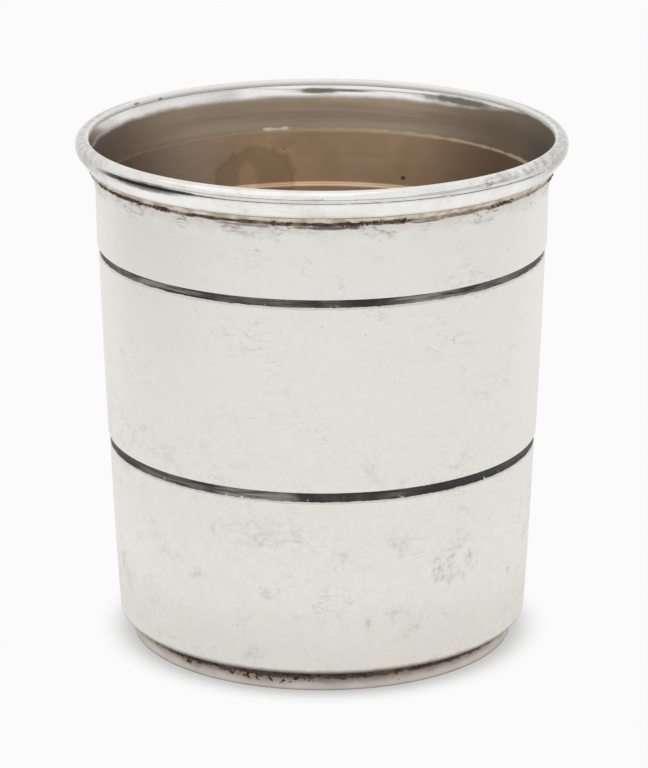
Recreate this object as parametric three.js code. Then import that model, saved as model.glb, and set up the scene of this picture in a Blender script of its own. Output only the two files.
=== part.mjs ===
// A small silver julep cup: a tapered beaker of sheet silver with two rolled bands, a heavy rim moulding
// and a low foot ring, hard-soldered together. Millimetres, Z up, zero at the plane that the foot stands on.

import * as THREE from 'three';

// Sheet and joints
const SHEET = 0.75; // thickness of the wall's sheet
const SEAM = 0.1; // room that the solder fills between two round faces
const SIDES = 80; // facets round every ring

// Wall: outside radius at the foot, and how much wider each drum is at its upper end than at its lower one
const BASE_RADIUS = 33.4; // just above the turned-in edge
const LOWER_TAPER = 1.57; // up to the lower band's upper edge
const MIDDLE_TAPER = 1.25; // up to the upper band's upper edge
const UPPER_TAPER = 0.16; // up to the crease under the rim, where the mouth starts to flare

// Wall: heights, each measured from the feature below it
const LOWER_DRUM = 28.35; // turned-in edge to lower band
const MIDDLE_DRUM = 29.9; // lower band to upper band
const UPPER_DRUM = 9.45; // upper band to the crease
const FLARE_HEIGHT = 7.25; // crease to the lip's edge
const FLARE = 1.7; // how far the lip stands out from the neck
const LOWER_SWELL = 0.12; // swell of the lower drum at mid height
const MIDDLE_SWELL = 0.06; // swell of the middle drum at mid height

// Rolled bands: a groove outside with a steep upper side and a sloping lower one, and a bead inside
const BAND_WIDTH = 1.65;
const BAND_DEPTH = 0.45; // groove's floor behind its upper edge
const BAND_STEP = 0.25; // groove's lower edge behind its upper edge
const BAND_SLOPE = 0.4; // height of the sloping lower side
const BAND_DROP = 0.1; // height of the steep upper side
const BEAD_SPREAD = 0.3; // how far the bead's sides run past the groove, above and below

// Turned-in edge and floor
const EDGE_BEND = 0.25; // inside radius of the wall's turned-in edge
const FLOOR_THICKNESS = 0.8;

// Foot: a strip of silver bent into a ring that leans out a little towards its resting face
const FOOT_HEIGHT = 3.35;
const FOOT_INSET = 2.2; // foot's outside behind the wall's
const FOOT_LEAN = 0.6; // top edge behind the resting edge
const FOOT_WIDTH = 1.6; // thickness of the strip
const FOOT_EASE = 0.25; // eased edges of the resting face

// Rim moulding: a bead with a fuller underside and a straight flank, rebated over the wall's lip
const RIM_RISE = 1; // crown above the lip's edge
const RIM_BEAD = 1.4; // radius of the bead's upper side
const RIM_BELLY = 1.95; // radius of its underside
const RIM_LAND = 0.2; // upright between the two
const RIM_INNER_ROUND = 0.75; // rounding into the mouth
const RIM_OVERLAP = 3.5; // skirt's run down the wall below the lip's edge
const RIM_EDGE = 0.35; // thickness of the skirt's lower edge

// Solder fillets: how far each runs along the two faces that it joins
const RIM_FILLET_DROP = 1.35;
const FOOT_FILLET_REACH = 0.75;
const FOOT_FILLET_DROP = 1.1;
const FLOOR_FILLET_REACH = 0.9;
const FLOOR_FILLET_RISE = 1;
const FILLET_TOE = 0.06; // blunt end of a fillet
const FILLET_HOLLOW = 0.1; // how far a fillet's face dips in

// Steps along the curved stretches of a profile
const DRUM_STEPS = 4;
const BEND_STEPS = 4;
const CROWN_STEPS = 5;
const BELLY_STEPS = 3;

// Places worked out from the sizes above
const lowerBandRadius = BASE_RADIUS + LOWER_TAPER;
const upperBandRadius = lowerBandRadius + MIDDLE_TAPER;
const neckRadius = upperBandRadius + UPPER_TAPER;
const flangeTop = FOOT_HEIGHT + SHEET;
const floorTop = flangeTop + FLOOR_THICKNESS;
const edgeRadius = EDGE_BEND + SHEET;
const edgeCentre = BASE_RADIUS - edgeRadius;
const edgeTop = FOOT_HEIGHT + edgeRadius;
const lowerBandFoot = edgeTop + LOWER_DRUM;
const upperBandFoot = lowerBandFoot + BAND_WIDTH + MIDDLE_DRUM;
const neckHeight = upperBandFoot + BAND_WIDTH + UPPER_DRUM;
const lipHeight = neckHeight + FLARE_HEIGHT;
const lipRadius = neckRadius + FLARE;
const mouthRadius = lipRadius - SHEET;
const footRadius = BASE_RADIUS - FOOT_INSET;
const footTopRadius = footRadius - FOOT_LEAN;
const flangeBore = footTopRadius - FOOT_WIDTH;

const point = (radius, height) => new THREE.Vector2(radius, height);

// Points on an arc about a centre, both ends included
function arc(centre, radius, fromDegrees, toDegrees, steps) {
  const points = [];
  for (let i = 0; i <= steps; i += 1) {
    const angle = THREE.MathUtils.degToRad(THREE.MathUtils.lerp(fromDegrees, toDegrees, i / steps));
    points.push(point(centre.x + radius * Math.cos(angle), centre.y + radius * Math.sin(angle)));
  }
  return points;
}

// Points from start to end, both included, along a drum that swells outwards at mid height
function drum(start, end, swell) {
  const points = [];
  for (let i = 0; i <= DRUM_STEPS; i += 1) {
    const share = i / DRUM_STEPS;
    const p = start.clone().lerp(end, share);
    p.x += swell * Math.sin(Math.PI * share);
    points.push(p);
  }
  return points;
}

// Radius of a line of points at one height
function radiusAt(line, height) {
  const above = line.findIndex((p, i) => i > 0 && (line[i - 1].y - height) * (p.y - height) <= 0);
  const a = line[above - 1];
  const b = line[above];
  return THREE.MathUtils.lerp(a.x, b.x, (height - a.y) / (b.y - a.y));
}

// Revolves a profile about the cup's axis; the profile rises on its outside
function revolved(profile) {
  const geometry = new THREE.LatheGeometry(profile, SIDES);
  geometry.rotateX(Math.PI / 2);
  return geometry;
}

// A ring whose section closes on its own first point
const ring = (section) => revolved([...section, section[0].clone()]);

// Groove of a rolled band, from its lower edge up to its upper edge
function groove(radius, foot) {
  return [
    point(radius - BAND_STEP, foot),
    point(radius - BAND_DEPTH, foot + BAND_SLOPE),
    point(radius - BAND_DEPTH, foot + BAND_WIDTH - BAND_DROP),
    point(radius, foot + BAND_WIDTH),
  ];
}

// Bead that the groove raises inside, one sheet behind it, from its upper end down to its lower end
function innerBead(radius, foot) {
  const [lowerEdge, floorFoot, floorHead, upperEdge] = groove(radius, foot);
  return [
    point(upperEdge.x - SHEET, upperEdge.y + BEAD_SPREAD),
    point(floorHead.x - SHEET, floorHead.y),
    point(floorFoot.x - SHEET, floorFoot.y),
    point(lowerEdge.x - SHEET, lowerEdge.y - BEAD_SPREAD),
  ];
}

// The wall's outside, from the top of the turned-in edge up to the lip
function outsideLine() {
  const base = point(BASE_RADIUS, edgeTop);
  const lower = groove(lowerBandRadius, lowerBandFoot);
  const upper = groove(upperBandRadius, upperBandFoot);
  return [
    ...drum(base, lower[0], LOWER_SWELL),
    ...lower.slice(1),
    ...drum(lower.at(-1), upper[0], MIDDLE_SWELL).slice(1),
    ...upper.slice(1),
    point(neckRadius, neckHeight),
    point(lipRadius, lipHeight),
  ];
}

// The wall's inside, from the lip down to the inner bend of the turned-in edge
function insideLine() {
  const upper = innerBead(upperBandRadius, upperBandFoot);
  const lower = innerBead(lowerBandRadius, lowerBandFoot);
  const base = point(BASE_RADIUS - SHEET, edgeTop);
  return [
    point(mouthRadius, lipHeight),
    point(neckRadius - SHEET, neckHeight),
    ...upper,
    ...drum(upper.at(-1), lower[0], MIDDLE_SWELL).slice(1, -1),
    ...lower,
    ...drum(lower.at(-1), base, LOWER_SWELL).slice(1),
  ];
}

const outside = outsideLine();
const inside = insideLine();

// Tapered wall in one sheet: its lower edge is turned in to carry the floor above it and the foot below it
function wallGeometry() {
  const centre = point(edgeCentre, edgeTop);
  return ring([
    point(flangeBore, FOOT_HEIGHT),
    ...arc(centre, edgeRadius, -90, 0, BEND_STEPS).slice(0, -1),
    ...outside,
    ...inside,
    ...arc(centre, EDGE_BEND, 0, -90, BEND_STEPS).slice(1),
    point(flangeBore, flangeTop),
  ]);
}

// Flat round floor that drops in from above and lies on the turned-in edge
function floorGeometry() {
  const radius = edgeCentre - SEAM;
  return revolved([
    point(0, flangeTop),
    point(radius, flangeTop),
    point(radius, floorTop),
    point(0, floorTop),
  ]);
}

const footOutside = [point(footRadius, FOOT_EASE), point(footTopRadius, FOOT_HEIGHT)];

// Foot ring that stands back under the turned-in edge
function footGeometry() {
  return ring([
    point(footRadius - FOOT_WIDTH + FOOT_EASE, 0),
    point(footRadius - FOOT_EASE, 0),
    ...footOutside,
    point(flangeBore, FOOT_HEIGHT),
    point(footRadius - FOOT_WIDTH, FOOT_EASE),
  ]);
}

const skirtFoot = lipHeight - RIM_OVERLAP;
const skirtBack = radiusAt(outside, skirtFoot) + SEAM;

// Angle on a circle, in degrees, where a line from an outside point below it touches its outer side
function touchAngle(centre, radius, from) {
  const towards = Math.atan2(from.y - centre.y, from.x - centre.x);
  const opening = Math.acos(radius / centre.distanceTo(from));
  return THREE.MathUtils.radToDeg(towards + opening);
}

// Rim moulding: skirt outside the lip, shoulder on the lip's edge, rounded crown over both
function rimGeometry() {
  const crown = lipHeight + RIM_RISE;
  const shoulder = lipHeight + SEAM;
  const skirtEdge = point(skirtBack + RIM_EDGE, skirtFoot);
  const beadCentre = point(mouthRadius + RIM_INNER_ROUND, crown - RIM_BEAD);
  const bellyCentre = point(beadCentre.x + RIM_BEAD - RIM_BELLY, beadCentre.y - RIM_LAND);
  const roundCentre = point(mouthRadius + RIM_INNER_ROUND, crown - RIM_INNER_ROUND);
  return ring([
    point(skirtBack, skirtFoot),
    skirtEdge,
    ...arc(bellyCentre, RIM_BELLY, touchAngle(bellyCentre, RIM_BELLY, skirtEdge), 0, BELLY_STEPS),
    ...arc(beadCentre, RIM_BEAD, 0, 90, CROWN_STEPS),
    ...arc(roundCentre, RIM_INNER_ROUND, 90, 180, BEND_STEPS).slice(1),
    point(mouthRadius, shoulder),
    point(lipRadius + SEAM, shoulder),
  ]);
}

// Ring of solder in a corner that opens outwards: its wide face on top, its toe pointing down the wall
function outerFillet(wall, top, drop, reach) {
  const toe = top - drop;
  const topBack = radiusAt(wall, top) + SEAM;
  const toeBack = radiusAt(wall, toe) + SEAM;
  const chord = (topBack + reach + toeBack + FILLET_TOE) / 2;
  return ring([
    point(toeBack, toe),
    point(toeBack + FILLET_TOE, toe),
    point(chord - FILLET_HOLLOW, top - drop / 2),
    point(topBack + reach, top),
    point(topBack, top),
  ]);
}

// Solder under the rim, as wide as the skirt's lower edge, and solder between the foot and the turned-in edge
const rimFillet = () => outerFillet(outside, skirtFoot, RIM_FILLET_DROP, RIM_EDGE);
const footFillet = () => outerFillet(footOutside, FOOT_HEIGHT, FOOT_FILLET_DROP, FOOT_FILLET_REACH);

// Ring of solder inside, in the corner between the floor and the wall
function floorFillet() {
  const top = floorTop + FLOOR_FILLET_RISE;
  const footBack = radiusAt(inside, floorTop) - SEAM;
  const topBack = radiusAt(inside, top) - SEAM;
  const chord = (footBack - FLOOR_FILLET_REACH + topBack - FILLET_TOE) / 2;
  return ring([
    point(footBack - FLOOR_FILLET_REACH, floorTop),
    point(footBack, floorTop),
    point(topBack, top),
    point(topBack - FILLET_TOE, top),
    point(chord + FILLET_HOLLOW, floorTop + FLOOR_FILLET_RISE / 2),
  ]);
}

function silver(color, roughness) {
  return new THREE.MeshStandardMaterial({ color, roughness, metalness: 1 });
}

function piece(name, geometry, material) {
  const mesh = new THREE.Mesh(geometry, material);
  mesh.name = name;
  return mesh;
}

const cup = new THREE.Group();
cup.name = 'julep_cup';
cup.add(
  piece('cup_wall', wallGeometry(), silver(0xd9d6cf, 0.42)),
  piece('floor_disc', floorGeometry(), silver(0x9c8468, 0.5)),
  piece('foot_ring', footGeometry(), silver(0xc2b4a8, 0.4)),
  piece('rim_moulding', rimGeometry(), silver(0xe6e4df, 0.22)),
  piece('rim_solder', rimFillet(), silver(0xa08a72, 0.6)),
  piece('foot_solder', footFillet(), silver(0x7d6a5c, 0.65)),
  piece('floor_solder', floorFillet(), silver(0x8f7a60, 0.6)),
);

export default cup;
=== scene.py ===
# %% [markdown]
# # A small julep cup of old silver
# The real cup is a tapered beaker of sheet silver, with two rolled bands round its wall, a heavy
# rim moulding at the mouth and a low foot ring. The imported CAD model holds its sizes. This script
# dresses it: every ring is turned again with finer faces and rounded edges, the joints get their
# lumpy solder and dirt, and the silver gets its polish, scratches and tarnish.
# The model is loaded first.

# %% Load the imported cup
import math

import bmesh
import bpy
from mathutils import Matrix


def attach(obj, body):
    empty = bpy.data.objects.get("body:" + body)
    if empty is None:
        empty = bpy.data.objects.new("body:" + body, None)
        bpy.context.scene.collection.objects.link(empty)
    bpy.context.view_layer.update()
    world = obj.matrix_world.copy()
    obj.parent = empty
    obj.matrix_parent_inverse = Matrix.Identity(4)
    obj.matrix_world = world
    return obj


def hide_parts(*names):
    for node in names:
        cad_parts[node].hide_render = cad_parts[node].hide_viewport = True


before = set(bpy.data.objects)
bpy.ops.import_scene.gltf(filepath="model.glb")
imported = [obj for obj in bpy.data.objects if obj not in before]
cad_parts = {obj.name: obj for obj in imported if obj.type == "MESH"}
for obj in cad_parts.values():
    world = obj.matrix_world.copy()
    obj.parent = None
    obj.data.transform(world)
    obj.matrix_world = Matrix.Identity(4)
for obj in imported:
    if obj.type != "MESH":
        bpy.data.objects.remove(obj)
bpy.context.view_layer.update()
MM = 0.001
print("nodes:", sorted(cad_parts))

# %% [markdown]
# ## The camera
# The photograph looks down on the cup by about 17 degrees, from 0.6 m in front of its axis, through
# a long lens. A camera can be aimed by a constraint, but plain numbers are easier to repeat.
# The cup stands a hair left of the middle of the picture, which is what the small shift does.

# %% Place the camera
PHOTO_WIDTH, PHOTO_HEIGHT = 648, 768
FOCAL_PIXELS = 3847.7
CUP_CENTRE_PIXEL = 322.04
LOOK_DOWN = math.radians(17.35)
CAMERA_PLACE = (0, -0.6, 0.2287)
SENSOR_WIDTH = 36

camera_data = bpy.data.cameras.new("photo_camera")
camera_data.sensor_width = SENSOR_WIDTH
camera_data.lens = FOCAL_PIXELS / PHOTO_HEIGHT * SENSOR_WIDTH
camera_data.shift_x = (PHOTO_WIDTH / 2 - CUP_CENTRE_PIXEL) / PHOTO_HEIGHT
camera_data.clip_start = 0.01
camera_data.clip_end = 50
camera = bpy.data.objects.new("photo_camera", camera_data)
camera.location = CAMERA_PLACE
camera.rotation_euler = (math.pi / 2 - LOOK_DOWN, 0, 0)
bpy.context.scene.collection.objects.link(camera)
bpy.context.scene.camera = camera
print("lens in mm:", round(camera_data.lens, 1))

# %% [markdown]
# ## Helpers for node trees
# Both the shapes and the finishes below are node trees. Wiring them by hand takes several lines a
# node. Here a node's output is wrapped in a value that can be reckoned with: a + b or 1 - a adds a
# Math node and links it. So a mask can be written like a sum in a book.

# %% Add a node and reckon with its outputs
class Value:
    """A node's output. A sum with it, such as a + b, 1 - a or abs(a), adds a Math node."""

    def __init__(self, socket):
        self.socket = socket
        self.tree = socket.id_data

    def __add__(self, other):
        return calc("ADD", self, other)

    def __sub__(self, other):
        return calc("SUBTRACT", self, other)

    def __rsub__(self, other):
        return calc("SUBTRACT", other, self)

    def __mul__(self, other):
        return calc("MULTIPLY", self, other)

    def __truediv__(self, other):
        return calc("DIVIDE", self, other)

    def __abs__(self):
        return calc("ABSOLUTE", self)


def add(tree, kind, feeds=None, **options):
    """Adds a node, sets its options, and fills its inputs with numbers or with values."""
    made = tree.nodes.new(kind)
    for name, option in options.items():
        setattr(made, name, option)
    for name, feed in (feeds or {}).items():
        if isinstance(feed, Value):
            tree.links.new(feed.socket, made.inputs[name])
        else:
            made.inputs[name].default_value = feed
    return made


def get(tree, kind, feeds=None, output=0, **options):
    """Adds a node and returns one of its outputs."""
    return Value(add(tree, kind, feeds, **options).outputs[output])


def get_all(tree, kind, feeds=None, **options):
    """Adds a node and returns its outputs by name."""
    return {out.name: Value(out) for out in add(tree, kind, feeds, **options).outputs}


def put(value, socket):
    """Links a value to a socket of its own tree."""
    value.tree.links.new(value.socket, socket)


print("helpers made: Value, add, get, get_all, put")

# %% Sums, steps and mixes
def calc(operation, *numbers):
    """A Math node on one, two or three numbers, at least one of them a value."""
    tree = next(number.tree for number in numbers if isinstance(number, Value))
    a, b, c = (*numbers, 0.0, 0.0)[:3]
    return get(tree, "ShaderNodeMath", {0: a, 1: b, 2: c}, operation=operation)


def largest(first, *others):
    """The largest of several values."""
    for other in others:
        first = calc("MAXIMUM", first, other)
    return first


def step(value, low, high, to_low=0.0, to_high=1.0):
    """Rises smoothly from to_low to to_high as the value goes from low to high."""
    feeds = {"Value": value, "From Min": low, "From Max": high, "To Min": to_low, "To Max": to_high}
    return get(value.tree, "ShaderNodeMapRange", feeds, interpolation_type="SMOOTHSTEP")


def between(share, a, b):
    """A number between a and b."""
    return get(share.tree, "ShaderNodeMix", {0: share, 2: a, 3: b})


def mix(share, a, b):
    """A colour between a and b, each a value or a (red, green, blue)."""
    a, b = ((*colour, 1) if isinstance(colour, tuple) else colour for colour in (a, b))
    return get(share.tree, "ShaderNodeMix", {0: share, 6: a, 7: b}, output=2, data_type="RGBA")


def coats(colour, *layers):
    """Lays coats of colour over each other; each layer is (share, colour)."""
    for share, tone in layers:
        colour = mix(share, colour, tone)
    return colour


print("helpers made: calc, largest, step, between, mix, coats")

# %% Places and noises
def vector(operation, a, b=None, output=0):
    """A Vector Math node on one or two vectors."""
    feeds = {0: a} if b is None else {0: a, 1: b}
    return get(a.tree, "ShaderNodeVectorMath", feeds, output, operation=operation)


def scaled(direction, length):
    """A vector times a number."""
    feeds = {0: direction, "Scale": length}
    return get(direction.tree, "ShaderNodeVectorMath", feeds, operation="SCALE")


def split(spot):
    """The three coordinates of a place."""
    return get_all(spot.tree, "ShaderNodeSeparateXYZ", {0: spot}).values()


def joined(x, y, z=0.0):
    """A place from its three coordinates, of which the first is a value."""
    return get(x.tree, "ShaderNodeCombineXYZ", {"X": x, "Y": y, "Z": z})


def on_ring(radius, angle, height):
    """A place on a ring round the axis."""
    return joined(radius * calc("COSINE", angle), radius * calc("SINE", angle), height)


def noise(spot, per_m, detail, roughness=0.5, distortion=0.0, seed=None):
    """A cloudy noise of the place; a seed gives another noise of the same kind."""
    feeds = {"Vector": spot, "Scale": per_m, "Detail": detail, "Roughness": roughness,
             "Distortion": distortion}
    if seed is None:
        return get(spot.tree, "ShaderNodeTexNoise", feeds)
    return get(spot.tree, "ShaderNodeTexNoise", {**feeds, "W": seed}, noise_dimensions="4D")


print("helpers made: vector, scaled, split, joined, on_ring, noise")

# %% Start a node group
FLOAT, WHOLE = "NodeSocketFloat", "NodeSocketInt"
VECTOR, GEOMETRY, MATERIAL = "NodeSocketVector", "NodeSocketGeometry", "NodeSocketMaterial"
SHADER_TREE, GEOMETRY_TREE = "ShaderNodeTree", "GeometryNodeTree"


def new_group(name, kind, inputs, outputs):
    """An empty node group. An input is given as name: type, or as name: number to start from."""
    tree = bpy.data.node_groups.new(name, kind)
    for label, given in inputs.items():
        if isinstance(given, str):
            tree.interface.new_socket(label, in_out="INPUT", socket_type=given)
        else:
            kind_of_number = WHOLE if isinstance(given, int) else FLOAT
            made = tree.interface.new_socket(label, in_out="INPUT", socket_type=kind_of_number)
            made.default_value = given
    for label, given in outputs.items():
        tree.interface.new_socket(label, in_out="OUTPUT", socket_type=given)
    return tree, get_all(tree, "NodeGroupInput"), tree.nodes.new("NodeGroupOutput").inputs


print("helper made: new_group")

# %% [markdown]
# ## Where a point lies on the cup
# Wear on a round thing runs round it, so the finishes need to know how far round and how high a
# point lies. Object coordinates are in metres from the foot's centre. This group turns them into
# an unrolled sheet in millimetres: how far round from the front, and how high. The angle is also
# counted from the rear, because the front's count has its jump there.

# %% Group: unrolled place
MIDDLE_RADIUS = 36
unrolled, given, result = new_group(
    "unrolled place", SHADER_TREE, {"Spot": VECTOR},
    {"Flat": VECTOR, "Height": FLOAT, "Turn": FLOAT, "From rear": FLOAT, "Rear flat": VECTOR},
)
x, y, z = split(given["Spot"])
turn = calc("ARCTAN2", x, y * -1)
from_rear = calc("ARCTAN2", x, y)
height = z / MM
put(joined(turn * MIDDLE_RADIUS, height), result["Flat"])
put(height, result["Height"])
put(turn, result["Turn"])
put(from_rear, result["From rear"])
put(joined(from_rear * MIDDLE_RADIUS, height), result["Rear flat"])


def on_cup(spot):
    """Where a point lies on the unrolled cup."""
    return get_all(spot.tree, "ShaderNodeGroup", {"Spot": spot}, node_tree=unrolled)


print("group made:", unrolled.name)

# %% [markdown]
# ## Polishing lines
# Years of rubbing with a cloth leave fine lines that run round the cup. A noise does this if it is
# squeezed upwards and stretched sideways. An image of scratches would need a map of its own; the
# noise has no seam and costs nothing.

# %% Group: polishing lines
def use(group, feeds):
    """Places a shader group in the tree that feeds it, and returns what it puts out."""
    tree = next(feed.tree for feed in feeds.values() if isinstance(feed, Value))
    return get(tree, "ShaderNodeGroup", feeds, node_tree=group)


polish, given, result = new_group(
    "polishing lines", SHADER_TREE, {"Spot": VECTOR, "Along per m": 60.0, "Across per m": 2500.0},
    {"Lines": FLOAT},
)
stretch = joined(given["Along per m"], given["Along per m"], given["Across per m"])
put(noise(vector("MULTIPLY", given["Spot"], stretch), 1.0, 4.0, 0.6), result["Lines"])


def polishing_lines(spot, along, across):
    """Fine lines round the cup, with so many waves in a metre along them and across them."""
    return use(polish, {"Spot": spot, "Along per m": along, "Across per m": across})


print("group made:", polish.name)

# %% [markdown]
# ## Blotches, pits and hairlines
# Old silver is never one tone. Blotches are soft clouds of tarnish, pits are tiny dark dots where
# the metal has corroded, and hairlines are the thin slanting scratches of use. Blotches come from
# a noise cut between two levels. Pits come from a Voronoi pattern in which only some cells hold a
# dot. A hairline is where a stretched noise crosses its middle value, broken up by a second noise.

# %% Group: blotches
blotch_group, given, result = new_group(
    "blotches", SHADER_TREE,
    {"Spot": VECTOR, "Per m": 150.0, "From": 0.4, "To": 0.6, "Seed": 0.0}, {"Mask": FLOAT},
)
clouds = noise(given["Spot"], given["Per m"], 5.0, 0.58, 0.4, given["Seed"])
put(step(clouds, given["From"], given["To"]), result["Mask"])


def blotches(spot, per_m, low, high, seed=0.0):
    """Clouds of tarnish: a noise cut between two levels."""
    return use(blotch_group, {"Spot": spot, "Per m": per_m, "From": low, "To": high, "Seed": seed})


print("group made:", blotch_group.name)

# %% Group: pits
pit_group, given, result = new_group(
    "pits", SHADER_TREE, {"Spot": VECTOR, "Per m": 900.0, "Share": 0.05, "Size": 0.2},
    {"Mask": FLOAT},
)
cells = get_all(pit_group, "ShaderNodeTexVoronoi", {"Vector": given["Spot"], "Scale": given["Per m"]})
chance = get(pit_group, "ShaderNodeSeparateColor", {0: cells["Color"]})
chosen = calc("LESS_THAN", chance, given["Share"])
dot = step(cells["Distance"], given["Size"] * 0.4, given["Size"], 1.0, 0.0)
put(chosen * dot, result["Mask"])


def pits(spot, per_m, share, size):
    """Dark dots in a share of the cells of a fine pattern; the size is a part of a cell."""
    return use(pit_group, {"Spot": spot, "Per m": per_m, "Share": share, "Size": size})


print("group made:", pit_group.name)

# %% Group: hairlines
def crossings(waves, width):
    """Thin lines where a noise crosses its middle value."""
    return step(abs(waves - 0.5), 0.0, width, 1.0, 0.0)


hairline_group, given, result = new_group(
    "hairlines", SHADER_TREE,
    {"Flat": VECTOR, "Slant": 0.3, "Width": 0.02, "Share": 0.55, "Seed": 0.0}, {"Mask": FLOAT},
)
slanted = get(hairline_group, "ShaderNodeVectorRotate", {
    "Vector": given["Flat"], "Axis": (0.0, 0.0, 1.0), "Angle": given["Slant"],
})
waves = noise(vector("MULTIPLY", slanted, (0.07, 0.9, 1.0)), 1.0, 1.0, seed=given["Seed"])
gaps = noise(given["Flat"], 0.22, 2.0, seed=given["Seed"])
kept = step(gaps, given["Share"], given["Share"] + 0.08)
put(crossings(waves, given["Width"]) * kept, result["Mask"])


def hairlines(flat, slant, share, seed, width=0.02):
    """Scratches of use, at a slant in radians; a larger share leaves fewer of them."""
    return use(hairline_group, {
        "Flat": flat, "Slant": slant, "Width": width, "Share": share, "Seed": seed,
    })


print("group made:", hairline_group.name)

# %% [markdown]
# ## Ragged edges
# Dirt and wear start at an edge of the metal and stop raggedly. The wall and the rim carry how deep
# a point lies in a groove, or how far it is from an edge, as an attribute in millimetres. This
# group adds noise to such a distance before it cuts it, so that the border wanders.

# %% Group: ragged border
ragged_group, given, result = new_group(
    "ragged border", SHADER_TREE,
    {"Distance": 0.0, "Spot": VECTOR, "Start": 0.0, "Soft": 0.1, "Ragged": 0.2, "Per m": 700.0},
    {"Mask": FLOAT},
)
swing = noise(given["Spot"], given["Per m"], 4.0, 0.6) - 0.5
wandering = calc("MULTIPLY_ADD", swing, given["Ragged"], given["Distance"])
put(step(wandering, given["Start"], given["Start"] + given["Soft"]), result["Mask"])


def past(distance, spot, start, soft, ragged, per_m):
    """Nought up to a start, then one, over a soft and ragged border in the distance's own unit."""
    return use(ragged_group, {
        "Distance": distance, "Spot": spot, "Start": start, "Soft": soft, "Ragged": ragged,
        "Per m": per_m,
    })


print("group made:", ragged_group.name)

# %% [markdown]
# ## Marks with a place of their own
# Some marks are single: the ring of a drop that dried, one dark spot, a smear. This group measures
# how far a point is from the middle of an ellipse on the unrolled sheet, 1 being its border. A fill
# or a ring is then one smooth step of that number.

# %% Group: oval distance
oval_group, given, result = new_group(
    "oval distance", SHADER_TREE,
    {"Flat": VECTOR, "Spot": VECTOR, "Middle": VECTOR, "Half sizes": VECTOR, "Ragged": 0.2,
     "Per m": 500.0},
    {"Distance": FLOAT},
)
apart = vector("SUBTRACT", given["Flat"], given["Middle"])
length = vector("LENGTH", vector("DIVIDE", apart, given["Half sizes"]), output="Value")
swing = noise(given["Spot"], given["Per m"], 4.0) - 0.5
put(calc("MULTIPLY_ADD", swing, given["Ragged"], length), result["Distance"])


def from_oval(flat, spot, middle, half, ragged):
    """How far a point is from an oval's middle, 1 on its border; sizes are in millimetres."""
    return use(oval_group, {
        "Flat": flat, "Spot": spot, "Middle": (*middle, 0), "Half sizes": (*half, 1),
        "Ragged": ragged,
    })


def filled(flat, spot, middle, half, soft=0.3, ragged=0.6):
    """A mask that fills an oval, with a ragged soft border."""
    return step(from_oval(flat, spot, middle, half, ragged), 1.0 - soft, 1.0 + soft, 1.0, 0.0)


def ringed(flat, spot, middle, half, width):
    """A mask along the border of an oval, like the mark of a drop that dried."""
    return step(abs(from_oval(flat, spot, middle, half, 0.5) - 1.0), 0.0, width, 1.0, 0.0)


print("group made:", oval_group.name)

# %% [markdown]
# ## Materials: one start and one end for all
# Each material starts the same way: a Principled surface, metallic unless it is told otherwise, and
# the Object coordinates. Attributes of the piece are read where a finish needs them. Silver under
# tarnish is still a metal, while black dirt isn't, so the metallic value follows the dirt. Each
# material ends by feeding that surface, most of them with a small bump for relief.

# %% Start and finish a material
def start_material(name, metallic=1.0):
    """A material, its surface node and its object coordinates."""
    material = bpy.data.materials.new(name)
    material.use_nodes = True
    surface = material.node_tree.nodes["Principled BSDF"]
    surface.inputs["Metallic"].default_value = metallic
    return material, surface, get(material.node_tree, "ShaderNodeTexCoord", output="Object")


def own(spot, name):
    """An attribute that the piece carries, as a number."""
    return get(spot.tree, "ShaderNodeAttribute", output="Fac", attribute_name=name)


def finish_surface(surface, colour, roughness, metallic=None, relief=None, depth=0.0):
    """Feeds the surface node. The relief becomes a bump of the given depth in metres."""
    put(colour, surface.inputs["Base Color"])
    put(roughness, surface.inputs["Roughness"])
    if metallic:
        put(metallic, surface.inputs["Metallic"])
    if relief:
        bump = {"Strength": 1.0, "Distance": depth, "Height": relief}
        put(get(relief.tree, "ShaderNodeBump", bump), surface.inputs["Normal"])


print("helpers made: start_material, own, finish_surface")

# %% [markdown]
# ## The wall's silver
# Outside, the wall is a soft pale grey, faintly mottled, with small specks and smudges that grow
# towards the foot. The two bands are black: old dirt and oxide fill the grooves, chipped here and
# there, with a pale reddish line on the metal below. Inside, the same sheet is brown with tarnish,
# but lips have kept its uppermost two millimetres bright. One material does it all, because it is
# one sheet. The dull film on old silver scatters light like paint does, so the metallic value stays
# below one where the film lies, and only the polished lip has it in full.

# %% Wall silver: tones outside
WARM_SILVER, COOL_SILVER = (0.902, 0.876, 0.815), (0.894, 0.884, 0.845)
PAINTED_LIGHT_SILVER = (0.985, 0.967, 0.922)
CLOUD_GREY, GRAIN_GREY = (0.74, 0.71, 0.65), (0.60, 0.58, 0.53)
wall_silver, surface, spot = start_material("wall_silver")
place = on_cup(spot)
height, flat = place["Height"], place["Flat"]
rear, rear_flat = place["From rear"], place["Rear flat"]
inside, groove, edge = (own(spot, name) for name in ("inside", "groove", "edge"))
small_clouds = blotches(spot, 620, 0.35, 0.7, 4)
grain = noise(spot, 1500, 4, 0.75)
outer = coats(
    mix(blotches(spot, 150, 0.36, 0.64), WARM_SILVER, COOL_SILVER),
    (small_clouds * 0.15, CLOUD_GREY),
    (step(grain, 0.32, 0.62, 0.16, 0.0), GRAIN_GREY),
    # Painted light: the wall's silver is made lighter towards the top.
    (step(height, 26, 62, 0.05, 0.5), PAINTED_LIGHT_SILVER),
)
print("wall silver has", len(spot.tree.nodes), "nodes so far")

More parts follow.
